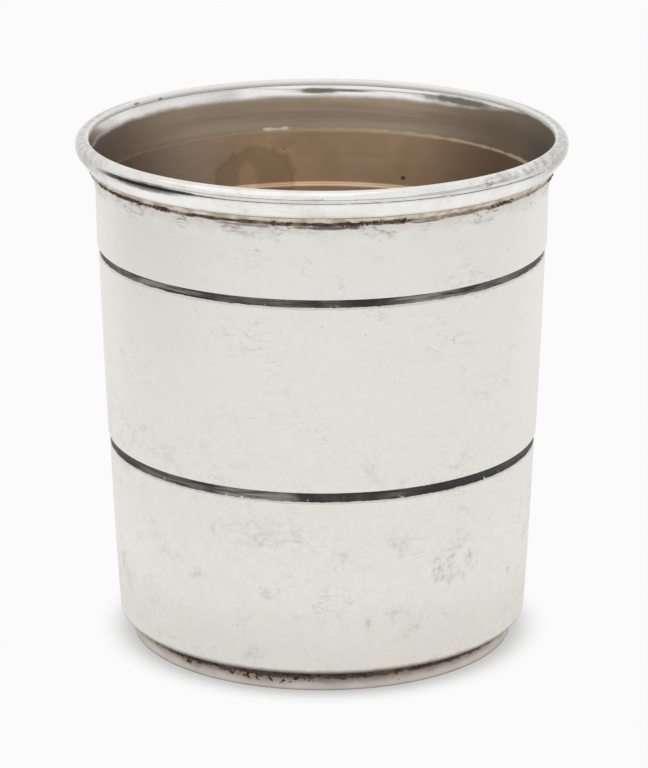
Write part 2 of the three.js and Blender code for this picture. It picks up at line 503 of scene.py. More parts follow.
# %% Wall silver: smudges, specks and hairlines
SMUDGE, DARKER_LOW_TONE, WORM_LINE = (0.50, 0.47, 0.42), (0.70, 0.665, 0.59), (0.46, 0.43, 0.38)
SPECK, SCRATCH = (0.24, 0.21, 0.18), (0.45, 0.43, 0.40)
low_down = step(height, 50, 6, 0.12, 1.0)
smudges = blotches(spot, 170, 0.54, 0.70, 9) * low_down * blotches(spot, 1300, 0.38, 0.62, 10)
above_foot = past(height, spot, 6, 13, 9, 90)
lengthwise = vector("MULTIPLY", spot, (0.45, 0.45, 1.5))
worms = crossings(blotches(lengthwise, 520, 0.0, 1.0, 23), 0.03)
specks = pits(spot, 900, 0.03, 0.15)
scratched = largest(hairlines(flat, 0.5, 0.6, 1, 0.013), hairlines(flat, -1.1, 0.62, 5, 0.013))
outer = coats(
    outer,
    (smudges * 0.7, SMUDGE),
    # Darker towards the foot.
    (calc("MULTIPLY_ADD", above_foot, -0.42, 0.42), DARKER_LOW_TONE),
    (worms * blotches(spot, 75, 0.52, 0.64, 24) * 0.42, WORM_LINE),
    (specks * 0.5, SPECK),
    (scratched * 0.2, SCRATCH),
)
print("wall silver has", len(spot.tree.nodes), "nodes so far")

# %% Wall silver: under the rim and at the turned-in edge
SOIL_AND_SHADE, CRACK, CRUST = (0.50, 0.44, 0.36), (0.22, 0.18, 0.145), (0.055, 0.045, 0.038)
TURNED_EDGE_SHADE = (0.20, 0.16, 0.13)
cracks = crossings(blotches(lengthwise, 620, 0.0, 1.0, 33), 0.07)
cracked = cracks * blotches(spot, 170, 0.46, 0.6, 34) * step(height, 74.4, 77.4)
crust = largest(
    filled(flat, spot, (0.8, 77.5), (4.6, 0.42), 0.3, 1.6),
    filled(flat, spot, (15.8, 77.8), (4.4, 0.3), 0.3, 2.0),
    filled(flat, spot, (-12.0, 77.5), (5.0, 0.30), 0.4, 2.4) * 0.7,
)
outer = coats(
    outer,
    # Tan soil with painted shade under the rim.
    (past(height, spot, 74.6, 3.2, 4, 320) * 0.3, SOIL_AND_SHADE),
    (cracked * 0.75, CRACK),
    (crust * 0.85, CRUST),
    # Painted shade on the underside of the turned-in edge.
    (1.0 - past(height, spot, 3.55, 0.95, 0.4, 500), TURNED_EDGE_SHADE),
)
print("wall silver has", len(spot.tree.nodes), "nodes so far")

# %% Wall silver: tarnish inside
BROWN, DEEP_BROWN, LEFT_BROWN = (0.84, 0.60, 0.39), (0.72, 0.49, 0.29), (0.64, 0.54, 0.45)
GREY_BROWN, GREY_BROWN_LINE = (0.52, 0.41, 0.305), (0.37, 0.295, 0.22)
SIDE_SHADE, FARTHEST_SHADE = (0.19, 0.145, 0.11), (0.09, 0.07, 0.055)
brushed = step(polishing_lines(spot, 18, 420), 0.36, 0.64)
far_side = step(rear, 0.3, 1.0) + step(rear, -1.15, -0.58, 1.0, 0.0)
inner = coats(
    mix(blotches(spot, 95, 0.4, 0.62, 2) * 0.8, BROWN, DEEP_BROWN),
    (step(rear, -0.8, -0.3, 0.8, 0.0), LEFT_BROWN),
    (past(height, spot, 75.1, 0.5, 0.4, 300) * 0.92, mix(brushed, GREY_BROWN, GREY_BROWN_LINE)),
    (far_side * 0.85, SIDE_SHADE),
    (step(abs(rear), 1.0, 1.5) * 0.65, FARTHEST_SHADE),
)
print("wall silver has", len(spot.tree.nodes), "nodes so far")

# %% Wall silver: marks inside, with a painted glint and highlight
ORANGE_BROWN, POOL_BROWN, DARK_SPOT = (1.0, 0.70, 0.42), (0.36, 0.205, 0.105), (0.08, 0.05, 0.035)
INNER_SPECK, CREST_WEAR_AND_HIGHLIGHT, PAINTED_GLINT = (0.16, 0.11, 0.08), (0.88, 0.70, 0.50), (1.0, 0.92, 0.76)
POOL = (-11.9, 67.0), (6.6, 5.2)
SMALL_POOL = (-6.9, 73.3), (1.9, 0.9)
island = filled(rear_flat, spot, (-13.2, 66.6), (1.7, 3.3), 0.3, 0.9)
pool = filled(rear_flat, spot, *POOL, 0.1, 0.5) * calc("MULTIPLY_ADD", island, -0.85, 1.0)
small_pool = filled(rear_flat, spot, *SMALL_POOL, 0.4, 1.6)
dried = largest(ringed(rear_flat, spot, *POOL, 0.2), ringed(rear_flat, spot, *SMALL_POOL, 0.35) * 0.4)
far_from_crest = past(edge, spot, 0.08, 0.32, 0.8, 420)
inner = coats(
    inner,
    (filled(rear_flat, spot, (-8.0, 66.0), (9.0, 6.5), 0.5, 0.6) * 0.55, ORANGE_BROWN),
    (largest(largest(pool, small_pool * 0.55) * 0.32, dried * 0.42), POOL_BROWN),
    (filled(rear_flat, spot, (14.3, 67.6), (0.42, 0.34), 0.35) * 0.85, DARK_SPOT),
    (pits(spot, 620, 0.035, 0.16) * 0.6, INNER_SPECK),
    # Worn, less tarnished crests inside, with a painted highlight that grows towards the right.
    ((1.0 - far_from_crest) * step(rear, -0.5, 0.4, 0.15, 0.85), CREST_WEAR_AND_HIGHLIGHT),
    # A painted glint on the crease inside.
    (filled(rear_flat, spot, (-8.2, 75.6), (2.0, 0.3), 0.4, 3.4), PAINTED_GLINT),
)
print("wall silver has", len(spot.tree.nodes), "nodes so far")

# %% Wall silver: the bright lip and its painted reflections
LIP_SILVER, CAMERA_REFLECTION_DARK, JOINT_LINE = (0.93, 0.92, 0.885), (0.13, 0.115, 0.10), (0.20, 0.185, 0.16)
# Painted reflections of the camera, dark, on the bright lip at the rear.
lip_camera_reflections = largest(
    filled(rear_flat, spot, (-0.6, 81.75), (3.8, 0.42), 0.5, 0.9),
    filled(rear_flat, spot, (24.5, 81.75), (7.4, 0.62), 0.5, 0.9),
    filled(rear_flat, spot, (3.6, 81.8), (4.2, 0.18), 0.6, 0.9),
)
joint_height = step(rear, -0.42, -0.12, 82.6, 82.02)
joint_strength = step(rear, -0.4, 0.1, 0.22, 0.6)
joint_line = step(abs(height - joint_height), 0.03, 0.17, joint_strength, 0.0)
lip_colour = coats(LIP_SILVER, (lip_camera_reflections * 0.92, CAMERA_REFLECTION_DARK), (joint_line, JOINT_LINE))
lip_start = step(rear, 0.6, 1.2, 80.4, 82.3)
bright_lip = past(height, spot, lip_start, 1.0, 0.9, 200) * inside
inner = mix(bright_lip, inner, lip_colour)
print("wall silver has", len(spot.tree.nodes), "nodes so far")

# %% Wall silver: black bands and the line below them
REDDISH_LINE, BLACK, SCUFF_GREY = (0.48, 0.38, 0.33), (0.016, 0.015, 0.014), (0.27, 0.245, 0.22)
fringe = (1.0 - past(edge, spot, 0.06, 0.2, 0.4, 450)) * (1.0 - inside)
chips = blotches(spot, 1100, 0.62, 0.68, 7) * step(groove, 0.15, 0.5, 1.0, 0.1)
black = past(groove, spot, 0.0, 0.08, 0.34, 900) * (1.0 - chips)
placed_scuffs = largest(
    largest(filled(flat, spot, (-11.2, 33.4), (6.7, 1.5), 0.3),
            filled(flat, spot, (-29.0, 65.2), (9.0, 0.5), 0.4)),
    largest(filled(flat, spot, (18.0, 65.2), (7.0, 1.5), 0.4),
            filled(flat, spot, (-28.0, 33.5), (8.5, 1.6), 0.4) * 0.45),
)
scuffed = largest(blotches(spot, 46, 0.47, 0.6, 31) * 0.6, placed_scuffs)
scuffed = scuffed * step(polishing_lines(spot, 160, 3200), 0.34, 0.6)
colour = coats(
    mix(inside, outer, inner),
    (fringe * 0.36, REDDISH_LINE),
    (black, mix(scuffed, BLACK, SCUFF_GREY)),
)
print("wall silver has", len(spot.tree.nodes), "nodes so far")

# %% Wall silver: gloss and relief
FILM_METALLIC, INSIDE_METALLIC = 0.52, 0.6
bare_metal = largest(between(inside, FILM_METALLIC, INSIDE_METALLIC), bright_lip)
lines = polishing_lines(spot, 45, 2200)
gloss = step(lines, 0.3, 0.7, 0.46, 0.54) + small_clouds * 0.04
gloss = between(bright_lip, gloss, step(lines, 0.3, 0.7, 0.13, 0.22))
relief = lines * 0.5 + specks * -1.0 + scratched * -0.6 + grain * 0.6
finish_surface(surface, colour, gloss, (1.0 - black) * bare_metal, relief, 0.000010)
print("material made:", wall_silver.name)

# %% [markdown]
# ## The rim's silver
# Hands and lips keep the rim bright, so it is the most mirror-like part. It still has nicks, fine
# lines that run round it and a little brown in the hollows. A low roughness that the lines raise
# here and there keeps it from looking like new chrome.

# %% Rim silver: tones
RIM_PALE, RIM_GREY, MOTTLE = (0.90, 0.895, 0.86), (0.85, 0.84, 0.80), (0.62, 0.60, 0.56)
RIM_SPECK, RIM_BROWN, SKIRT_EDGE_SHADOW = (0.30, 0.26, 0.22), (0.46, 0.41, 0.33), (0.09, 0.07, 0.05)
PAINTED_SIDE_SHADE, PALE_FILM = (0.47, 0.46, 0.435), (0.90, 0.885, 0.85)
rim_silver, surface, spot = start_material("rim_silver")
place = on_cup(spot)
height, flat, turn, rear_flat = (place[k] for k in ("Height", "Flat", "Turn", "Rear flat"))
edge, film = own(spot, "edge"), own(spot, "inside")
clouds = blotches(spot, 210, 0.4, 0.65, 3)
specks = pits(spot, 1300, 0.06, 0.2)
clouded = blotches(spot, 1000, 0.34, 0.66, 25)
# Painted shade, mottled, on the rim's lower outside where it turns away at the sides, more on the right.
at_sides = step(abs(abs(turn) - 1.6), 0.25, 0.75, 1.0, 0.0)
under_side = step(height, 82.2, 83.35, 0.65, 0.2)
right_hand = step(turn, 0.2, 0.9, 1.4, 1.6)
painted_side_shade = at_sides * calc("MULTIPLY_ADD", clouded, 0.5, under_side) * right_hand
colour = coats(
    mix(clouds, RIM_PALE, RIM_GREY),
    (blotches(spot, 900, 0.45, 0.65, 21) * clouds * 0.3, MOTTLE),
    (specks * 0.7, RIM_SPECK),
    ((1.0 - past(edge, spot, 0.0, 0.95, 0.7, 500)) * 0.5, RIM_BROWN),
    # A painted shadow along the skirt's edge.
    ((1.0 - past(edge, spot, 0.10, 0.12, 0.2, 400)) * 0.9, SKIRT_EDGE_SHADOW),
    (calc("MINIMUM", painted_side_shade, 1.0), PAINTED_SIDE_SHADE),
    (film, PALE_FILM),
)
print("rim silver has", len(spot.tree.nodes), "nodes so far")

# %% Rim silver: marks, a painted reflection, gloss and relief
RIM_MARK_AND_REFLECTION = (0.17, 0.155, 0.14)
# A dark painted reflection with a thin tail on the rim's front left; the worn patch and the nicks are
# real marks.
rim_painted_reflection = filled(flat, spot, (-27.0, 81.85), (6.4, 0.62), 0.5, 1.0)
rim_reflection_tail = filled(flat, spot, (-21.0, 82.0), (6.0, 0.16), 0.4, 0.8)
worn_right = filled(flat, spot, (31.5, 82.9), (9.0, 0.6), 0.4, 3.2)
nicked = largest(filled(rear_flat, spot, (-34.6, 83.15), (0.75, 0.2), 0.4, 1.0),
                 filled(rear_flat, spot, (-29.0, 82.95), (0.55, 0.2), 0.4, 1.0))
marks_and_reflection = largest(rim_painted_reflection * 0.92, rim_reflection_tail * 0.8, worn_right * clouded * 0.45, nicked * 0.75)
lines = polishing_lines(spot, 30, 3600)
scratched = largest(hairlines(flat, 0.12, 0.5, 11), hairlines(flat, -0.7, 0.56, 15))
gloss = step(lines, 0.3, 0.7, 0.055, 0.11) + scratched * 0.12
relief = lines * 0.4 + specks * -1.2 + scratched * -0.7
finish_surface(surface, mix(marks_and_reflection, colour, RIM_MARK_AND_REFLECTION), calc("MULTIPLY_ADD", film, 0.3, gloss),
               calc("MULTIPLY_ADD", film, -0.85, 1.0), relief, 0.000006)
print("material made:", rim_silver.name)

# %% [markdown]
# ## Foot, floor, solder and dirt
# The foot ring is a pinkish tan where copper has come through the polish, darker towards the
# joint. The floor inside is as brown as the wall round it. Solder is a duller, greyer alloy that
# takes dirt, and the dirt itself is a dry dark brown that isn't metal at all.

# %% Foot silver
PINK_TAN, DULL_TAN, PALE_TAN = (0.66, 0.595, 0.54), (0.50, 0.425, 0.36), (0.78, 0.73, 0.68)
RIGHT_TAN, UPPER_BROWN, JOINT_DIRT = (0.74, 0.68, 0.62), (0.25, 0.20, 0.165), (0.075, 0.058, 0.046)
FLAKE, CONTACT_SHADE_BROWN, FOOT_SPECK = (0.035, 0.03, 0.026), (0.28, 0.24, 0.21), (0.14, 0.10, 0.08)
foot_silver, surface, spot = start_material("foot_silver")
place = on_cup(spot)
height, flat, turn = (place[k] for k in ("Height", "Flat", "Turn"))
flake_zone = largest(filled(flat, spot, (-10.5, 1.75), (9.5, 0.75), 0.3, 0.8),
                     filled(flat, spot, (-28.0, 1.9), (4.0, 0.7), 0.3, 0.8))
specks = pits(spot, 900, 0.1, 0.2)
colour = coats(
    mix(blotches(spot, 160, 0.4, 0.6, 6), PINK_TAN, DULL_TAN),
    (step(height, 0.5, 1.2, 0.55, 0.0), PALE_TAN),
    (step(turn, 0.0, 0.5, 0.0, 0.4), RIGHT_TAN),
    (past(height, spot, 0.85, 1.0, 0.9, 420) * 0.85, UPPER_BROWN),
    (past(height, spot, 1.7, 0.25, 1.7, 560) * 0.9, JOINT_DIRT),
    (blotches(spot, 1150, 0.52, 0.56, 26) * flake_zone * 0.92, FLAKE),
    # Painted shade where the foot meets the floor.
    (step(height, 0.12, 0.3, 1.0, 0.0) * 0.6, CONTACT_SHADE_BROWN),
    (specks * 0.6, FOOT_SPECK),
)
lines = polishing_lines(spot, 40, 2600)
relief = lines * 0.5 + specks * -1.0
finish_surface(surface, colour, step(lines, 0.3, 0.7, 0.34, 0.46), relief=relief, depth=0.000012)
print("material made:", foot_silver.name)

# %% Floor silver
FLOOR_BROWN, FLOOR_DEEP = (0.60, 0.48, 0.36), (0.44, 0.33, 0.24)
FLOOR_STAIN, FLOOR_SPECK = (0.30, 0.21, 0.15), (0.12, 0.09, 0.07)
floor_silver, surface, spot = start_material("floor_silver")
small_stain = blotches(spot, 380, 0.5, 0.7, 12)
specks = pits(spot, 420, 0.08, 0.22)
colour = coats(
    mix(blotches(spot, 75, 0.38, 0.62, 8), FLOOR_BROWN, FLOOR_DEEP),
    (small_stain * 0.4, FLOOR_STAIN),
    (specks * 0.6, FLOOR_SPECK),
)
relief = small_stain * 0.5 + specks * -1.0
finish_surface(surface, colour, small_stain * 0.15 + 0.36, relief=relief, depth=0.00002)
print("material made:", floor_silver.name)

# %% Solder, with its dirt between two heights
SOOT, BROWN_SOOT = (0.03, 0.024, 0.02), (0.12, 0.085, 0.06)


def solder_material(name, low, high, tan, dirty, right_side=1.0, metal=1.0):
    """Tan solder with a ragged belt of black dirt between two heights in millimetres."""
    material, surface, spot = start_material(name)
    place = on_cup(spot)
    clouds = blotches(spot, 420, 0.4, 0.62, 13)
    belt = past(place["Height"], spot, low, 0.15, 0.9, 330)
    belt = belt * (1.0 - past(place["Height"], spot, high, 0.15, 0.9, 460))
    belt = belt * (1.0 - blotches(spot, 110, 0.46, 0.6, 14) * (1.0 - dirty))
    belt = belt * step(place["Turn"], 0.15, 0.7, 1.0, right_side)
    colour = coats(
        mix(clouds, tan, (tan[0] * 0.62, tan[1] * 0.6, tan[2] * 0.58)),
        (belt, mix(blotches(spot, 700, 0.4, 0.6, 27), SOOT, BROWN_SOOT)),
    )
    finish_surface(surface, colour, belt * 0.2 + 0.5, calc("MULTIPLY_ADD", belt, -metal, metal),
                   clouds + belt, 0.00005)
    print("material made:", material.name)
    return material


# The line at the lip is clean: its belt of dirt would lie above the cup.
rim_solder_tan = solder_material("rim_solder_tan", 77.75, 78.32, (0.80, 0.71, 0.585), 0.35, 0.7)
lip_solder_pale = solder_material("lip_solder_pale", 90.0, 91.0, (0.88, 0.86, 0.82), 0.0, metal=0.2)
foot_solder_dark = solder_material("foot_solder_dark", 1.0, 5.0, (0.66, 0.585, 0.49), 0.95)
floor_solder_brown = solder_material("floor_solder_brown", 4.7, 5.1, (0.45, 0.35, 0.25), 0.6)

# %% Dry dirt
DIRT_DARK, DIRT_BROWN = (0.03, 0.02, 0.014), (0.13, 0.085, 0.05)
dirt, surface, spot = start_material("dry_dirt", metallic=0.0)
clouds = blotches(spot, 1200, 0.4, 0.65, 16)
finish_surface(surface, mix(clouds, DIRT_DARK, DIRT_BROWN), clouds * 0.2 + 0.7)
print("material made:", dirt.name)

# %% [markdown]
# ## Handwork
# No ring of an old cup is truly round. All pieces that touch have to be out of round together, or
# gaps would open between them. So one small Geometry Nodes group moves every point in or out by a
# slow noise of its place, and every tree below uses it with the same values.

# %% Geometry group: handwork
handwork, given, result = new_group(
    "handwork", GEOMETRY_TREE, {"Geometry": GEOMETRY, "Depth": 0.00025, "Per m": 20.0},
    {"Geometry": GEOMETRY},
)
where = get(handwork, "GeometryNodeInputPosition")
push = (noise(where, given["Per m"], 1.0) - 0.5) * given["Depth"]
outwards = vector("NORMALIZE", vector("MULTIPLY", where, (1.0, 1.0, 0.0)))


def moved(mesh, **how):
    """A mesh with its points set to a new Position, or moved by an Offset."""
    return get(mesh.tree, "GeometryNodeSetPosition", {"Geometry": mesh, **how})


put(moved(given["Geometry"], Offset=scaled(outwards, push)), result["Geometry"])
print("group made:", handwork.name)

# %% [markdown]
# ## Turning a profile
# Every piece of the cup is round, so one tree makes them all. It takes a profile, a string of
# points to the right of the axis, and turns it. A Spin in edit mode would do the same, but the tree
# keeps its sizes as named inputs and carries the profile's attributes to every facet. The grid has
# one column of points for each step round the axis: a point's number, divided by the length of the
# profile, gives its column, and the rest of the division gives its row.

# %% Geometry tree: turn a profile
def whole(operation, a, b):
    """A sum of whole numbers."""
    return get(a.tree, "FunctionNodeIntegerMath", {0: a, 1: b}, operation=operation)


def sampled(mesh, value, index, kind):
    """A value at one point of another mesh."""
    feeds = {"Geometry": mesh, "Value": value, "Index": index}
    return get(mesh.tree, "GeometryNodeSampleIndex", feeds, data_type=kind)


turning, given, result = new_group(
    "turn a profile", GEOMETRY_TREE,
    {"Profile": GEOMETRY, "Facets": 360, "Lump depth": 0.0, "Lumps per m": 400.0,
     "Nick depth": 0.0, "Nicks per m": 80.0, "Material": MATERIAL},
    {"Geometry": GEOMETRY},
)
profile, facets = given["Profile"], given["Facets"]
count = get(turning, "GeometryNodeAttributeDomainSize", {0: profile}, "Point Count")
columns = whole("ADD", facets, 1)
grid = get(turning, "GeometryNodeMeshGrid", {"Vertices X": columns, "Vertices Y": count}, "Mesh")
number = get(turning, "GeometryNodeInputIndex")
row = whole("MODULO", number, count)
where = get(turning, "GeometryNodeInputPosition")
radius, _, level = split(sampled(profile, where, row, "FLOAT_VECTOR"))
share = whole("DIVIDE_FLOOR", number, count) / facets
angle = calc("MULTIPLY_ADD", share, math.tau, math.pi / 2)
shape = moved(grid, Position=on_ring(radius, angle, level))
print("the turning tree has", len(turning.nodes), "nodes so far")

# %% Geometry tree: carry the attributes and close the seam
ATTRIBUTES = ("inside", "groove", "edge")
SAME_PLACE = 1e-6
for name in ATTRIBUTES:
    read = get(turning, "GeometryNodeInputNamedAttribute", {"Name": name}, data_type="FLOAT")
    carried = sampled(profile, read, row, "FLOAT")
    shape = get(turning, "GeometryNodeStoreNamedAttribute", {
        "Geometry": shape, "Name": name, "Value": carried,
    }, data_type="FLOAT", domain="POINT")
shape = get(turning, "GeometryNodeMergeByDistance", {"Geometry": shape, "Distance": SAME_PLACE})
print("the turning tree has", len(turning.nodes), "nodes so far")

# %% Geometry tree: lumps, nicks and the end
def finish_tree(shape, material, socket):
    """Ends a tree by giving its faces their material."""
    put(get(shape.tree, "GeometryNodeSetMaterial", {"Geometry": shape, "Material": material}), socket)


where = get(turning, "GeometryNodeInputPosition")
lump = (noise(where, given["Lumps per m"], 3.0, 0.6) - 0.5) * given["Lump depth"]
spots = {"Vector": where, "Scale": given["Nicks per m"]}
near = step(get(turning, "ShaderNodeTexVoronoi", spots, "Distance"), 0.02, 0.09, 1.0, 0.0)
depth = lump - near * given["Nick depth"]
shape = moved(shape, Offset=scaled(get(turning, "GeometryNodeInputNormal"), depth))
shape = get(turning, "GeometryNodeGroup", {"Geometry": shape}, node_tree=handwork)
shape = get(turning, "GeometryNodeSetShadeSmooth", {0: shape})
shape = get(turning, "GeometryNodeRealizeInstances", {0: shape})
finish_tree(shape, given["Material"], result["Geometry"])
print("tree made:", turning.name)

# %% [markdown]
# ## From tree to plain mesh
# A tree's result is turned into a plain mesh, and the modifier goes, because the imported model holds
# meshes only. The volume tells whether the faces point outwards: where it is negative they are all
# turned round.

# %% Run a tree and keep its mesh
def run_tree(name, mesh, tree, sizes):
    """Runs a Geometry Nodes tree on a mesh and returns an object with the resulting plain mesh."""
    piece = bpy.data.objects.new(name, mesh)
    bpy.context.scene.collection.objects.link(piece)
    modifier = piece.modifiers.new("tree", "NODES")
    modifier.node_group = tree
    for item in tree.interface.items_tree:
        if item.in_out == "INPUT" and item.name in sizes:
            modifier[item.identifier] = sizes[item.name]
    evaluated = piece.evaluated_get(bpy.context.evaluated_depsgraph_get())
    made = bpy.data.meshes.new_from_object(evaluated)
    piece.modifiers.clear()
    piece.data = made
    made.name = name
    face_outwards(made)
    return piece


def face_outwards(mesh):
    """Turns the faces of a closed mesh outwards."""
    shape = bmesh.new()
    shape.from_mesh(mesh)
    volume = shape.calc_volume(signed=True)
    if volume < 0:
        bmesh.ops.reverse_faces(shape, faces=shape.faces)
        shape.to_mesh(mesh)
    shape.free()
    print(mesh.name, "faces", len(mesh.polygons), "volume in mm3", round(abs(volume) / MM ** 3, 1))


print("helpers made: run_tree, face_outwards")

# %% [markdown]
# ## Profiles with rounded corners
# A real edge is never sharp: polishing rounds it, and the small round catches a line of light. So
# each corner of a profile gets a radius, and short faces beside it keep the shading crisp. Long
# straight runs are cut into short steps, which lets the handwork bend them.

# %% Round the corners of a profile
BEND_STEPS = 6
LONGEST_SHARE = 0.4
SHORT_FACE = 1.3


def towards(start, end, length):
    """The point at a length from the start, on the way to the end."""
    whole_way = math.dist(start, end)
    return tuple(start[k] + (end[k] - start[k]) / whole_way * length for k in (0, 1))


def rounded(corners, closed=False):
    """Points along a line whose corners (radius, height, bend) are rounded, in millimetres."""
    points = []
    for i, (*corner, bend) in enumerate(corners):
        is_end = not closed and i in (0, len(corners) - 1)
        if is_end or bend == 0:
            points.append(tuple(corner))
            continue
        before, after = corners[i - 1][:2], corners[(i + 1) % len(corners)][:2]
        reach = min(bend, math.dist(corner, before) * LONGEST_SHARE,
                    math.dist(corner, after) * LONGEST_SHARE)
        first, last = towards(corner, before, reach), towards(corner, after, reach)
        points += [towards(corner, before, reach * SHORT_FACE), first]
        for j in range(1, BEND_STEPS):
            t = j / BEND_STEPS
            points.append(tuple(
                (1 - t) ** 2 * first[k] + 2 * t * (1 - t) * corner[k] + t * t * last[k]
                for k in (0, 1)
            ))
        points += [last, towards(corner, after, reach * SHORT_FACE)]
    return points


corner_points = rounded([(0, 0, 0), (1, 0, 0.2), (1, 1, 0)])
print("a rounded corner between two ends takes", len(corner_points), "points")

# %% Lines with short steps, drums and arcs
def spaced(points, gap):
    """The same line with no step longer than the gap."""
    result = [points[0]]
    for a, b in zip(points, points[1:]):
        pieces = max(1, math.ceil(math.dist(a, b) / gap))
        for j in range(1, pieces + 1):
            result.append(tuple(a[k] + (b[k] - a[k]) * j / pieces for k in (0, 1)))
    return result


def closed_line(corners, gap):
    """A closed line with rounded corners, which ends where it starts."""
    points = rounded(corners, closed=True)
    return spaced(points + points[:1], gap)


def bow(low, high, swell, steps=6):
    """Corners along a drum whose side swells outwards at mid height, without its two ends."""
    corners = []
    for j in range(1, steps):
        share = j / steps
        r = low[0] + (high[0] - low[0]) * share + swell * math.sin(math.pi * share)
        corners.append((r, low[1] + (high[1] - low[1]) * share, 0))
    return corners


def arc(r, z, size, start, end, steps):
    """Plain corners on a part of a circle, between two angles in degrees."""
    turns = [math.radians(start + (end - start) * j / steps) for j in range(steps + 1)]
    return [(r + size * math.cos(a), z + size * math.sin(a), 0) for a in turns]


print("helpers made: spaced, closed_line, bow, arc")

# %% Turn a profile with its attributes
def turned(name, points, material, facets, lumps=(0.0, 400.0), nicks=(0.0, 80.0), **attributes):
    """Turns a profile in millimetres. Lumps and nicks are (depth in metres, how many per metre)."""
    mesh = bpy.data.meshes.new(name + "_profile")
    mesh.from_pydata([(r * MM, 0, z * MM) for r, z in points], [], [])
    for label in ATTRIBUTES:
        layer = mesh.attributes.new(label, "FLOAT", "POINT")
        layer.data.foreach_set("value", attributes.get(label, [0.0] * len(points)))
    return run_tree(name, mesh, turning, {
        "Facets": facets, "Material": material, "Lump depth": lumps[0], "Lumps per m": lumps[1],
        "Nick depth": nicks[0], "Nicks per m": nicks[1],
    })


print("helper made: turned")

# %% [markdown]
# ## The wall
# The wall is one sheet, 0.75 mm thick. Its outer line rises from the turned-in edge over two drums
# and two grooves to the crease and the flared lip, and the inner line comes back down one sheet
# behind it, with a bead where each groove pushes in. The groove's upper edge is crisp, because the
# roller pinched it, and its lower side slopes. All sizes are in millimetres, and a place on the
# profile is given as (radius, height).

# %% Wall: sizes
SHEET = 0.75
BASE_RADIUS = 33.4
LOWER_BAND = (34.97, 32.7)
UPPER_BAND = (36.22, 64.25)
NECK = (36.38, 75.35)
MOUTH_CURVE = (37.36, 80.1)
LIP = (38.08, 82.6)
BAND_WIDTH = 1.65
BAND_STEP, BAND_DEPTH = 0.25, 0.45
BAND_SLOPE, BAND_DROP = 0.4, 0.1
BEAD_SPREAD = 0.3
LOWER_SWELL, MIDDLE_SWELL = 0.12, 0.06
FOOT_HEIGHT = 3.35
EDGE_BEND = 0.25
EDGE_HEIGHT = FOOT_HEIGHT + SHEET + EDGE_BEND
BORE = 29.0


def groove_corners(r, z):
    """The four corners of a groove, from its lower edge to its upper edge."""
    top = z + BAND_WIDTH
    return [(r - BAND_STEP, z, 0.16), (r - BAND_DEPTH, z + BAND_SLOPE, 0.3),
            (r - BAND_DEPTH, top - BAND_DROP, 0.14), (r, top, 0.1)]


def bead_corners(r, z):
    """The four corners of the bead behind a groove, from its upper end to its lower end."""
    top, back = z + BAND_WIDTH, r - SHEET
    return [(back, top + BEAD_SPREAD, 0.3), (r - BAND_DEPTH - SHEET, top - BAND_DROP, 0.3),
            (r - BAND_DEPTH - SHEET, z + BAND_SLOPE, 0.3),
            (r - BAND_STEP - SHEET, z - BEAD_SPREAD, 0.3)]


print("the wall is", round(LIP[1] - FOOT_HEIGHT, 2), "mm high")

# %% Wall: outer line and inner line
lower, upper = groove_corners(*LOWER_BAND), groove_corners(*UPPER_BAND)
sheet_middle = FOOT_HEIGHT + SHEET / 2
outer_bend = SHEET + EDGE_BEND
outer_corners = [
    (BORE, sheet_middle, 0), (BORE, FOOT_HEIGHT, 0.12),
    *arc(BASE_RADIUS - outer_bend, EDGE_HEIGHT, outer_bend, -90, 0, 10),
    *bow((BASE_RADIUS, EDGE_HEIGHT), lower[0], LOWER_SWELL), *lower,
    *bow(lower[3], upper[0], MIDDLE_SWELL), *upper,
    (*NECK, 0.9), (*MOUTH_CURVE, 2.0), (*LIP, 0.02), (LIP[0] - SHEET / 2, LIP[1], 0),
]
outer_line = spaced(rounded(outer_corners), 1.4)

bead_low, bead_high = bead_corners(*LOWER_BAND), bead_corners(*UPPER_BAND)
inner_corners = [
    (LIP[0] - SHEET / 2, LIP[1], 0), (LIP[0] - SHEET, LIP[1], 0.02),
    (MOUTH_CURVE[0] - SHEET, MOUTH_CURVE[1], 2.0), (NECK[0] - SHEET, NECK[1], 0.5),
    *bead_high, *bow(bead_high[3], bead_low[0], MIDDLE_SWELL),
    *bead_low, *bow(bead_low[3], (BASE_RADIUS - SHEET, EDGE_HEIGHT), LOWER_SWELL),
    (BASE_RADIUS - SHEET, EDGE_HEIGHT - EDGE_BEND, 0.2), (BORE, FOOT_HEIGHT + SHEET, 0.12),
    (BORE, sheet_middle, 0),
]
inner_line = spaced(rounded(inner_corners), 1.6)[1:]
print("wall profile:", len(outer_line), "points outside and", len(inner_line), "inside")

# %% Wall: how deep in a groove, and how far from a worn crest with a painted highlight
# The black starts a ledge above a groove's lower edge and ends a drop below its upper edge.
LOWER_LEDGE, UPPER_LEDGE = 0.05, 0.3
LOWER_DROP, UPPER_DROP = 0.2, 0.05
LEDGE_OFFSET = 0.15
FAR_AWAY = 5.0
reach = [0.0]
for a, b in zip(outer_line, outer_line[1:]):
    reach.append(reach[-1] + math.dist(a, b))


def place_of(corner):
    """Where on the outer line a corner lies."""
    nearest = min(range(len(outer_line)), key=lambda i: math.dist(outer_line[i], corner[:2]))
    return reach[nearest]


bands = [(place_of(lower[0]) + LOWER_LEDGE, place_of(lower[3]) - LOWER_DROP),
         (place_of(upper[0]) + UPPER_LEDGE, place_of(upper[3]) - UPPER_DROP)]
groove_depth = [max(-FAR_AWAY, *(min(s - a, b - s) for a, b in bands)) for s in reach]
ledge_distance = [min(FAR_AWAY, *(abs(s - a + LEDGE_OFFSET) for a, b in bands)) for s in reach]
worn_highlit_crests = [(NECK[0] - SHEET, NECK[1]), bead_high[1][:2], bead_low[1][:2]]
crest_distance = [min(FAR_AWAY, *(math.dist(p, crest) for crest in worn_highlit_crests)) for p in inner_line]
print("band edges along the line:", [(round(a, 2), round(b, 2)) for a, b in bands])

